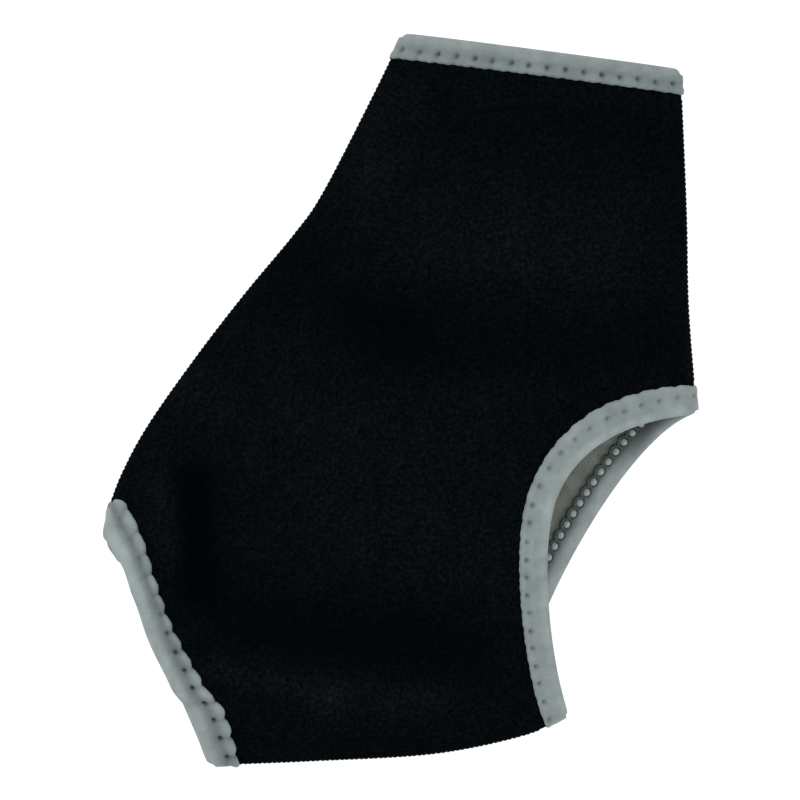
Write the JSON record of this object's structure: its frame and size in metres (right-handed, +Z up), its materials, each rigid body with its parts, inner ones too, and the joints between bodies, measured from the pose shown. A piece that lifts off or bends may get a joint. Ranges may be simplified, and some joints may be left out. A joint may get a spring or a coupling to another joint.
{
  "type": "ankle brace",
  "caption": "Slip-on foam ankle sleeve with an open heel, lying on its side; black face, olive lining and folded grey tape round the leg, toe and heel openings.",
  "frame": {"origin": "middle of the base of the bounding box, on the floor that the brace lies on", "axes": "+Y towards the leg opening, +X towards the heel opening, +Z up through the two panels"},
  "size_m": [0.185, 0.228, 0.0316],
  "materials": {
    "face_fabric": "matt black brushed knit on foam",
    "lining": "matt olive grey jersey",
    "binding_tape": "matt light grey folded knit tape"
  },
  "bodies": {
    "root": {"near_panel": "face_fabric", "far_panel": "face_fabric", "near_lining": "lining", "far_lining": "lining", "leg_binding": "binding_tape", "toe_binding": "binding_tape", "heel_binding": "binding_tape"}
  },
  "joints": []
}
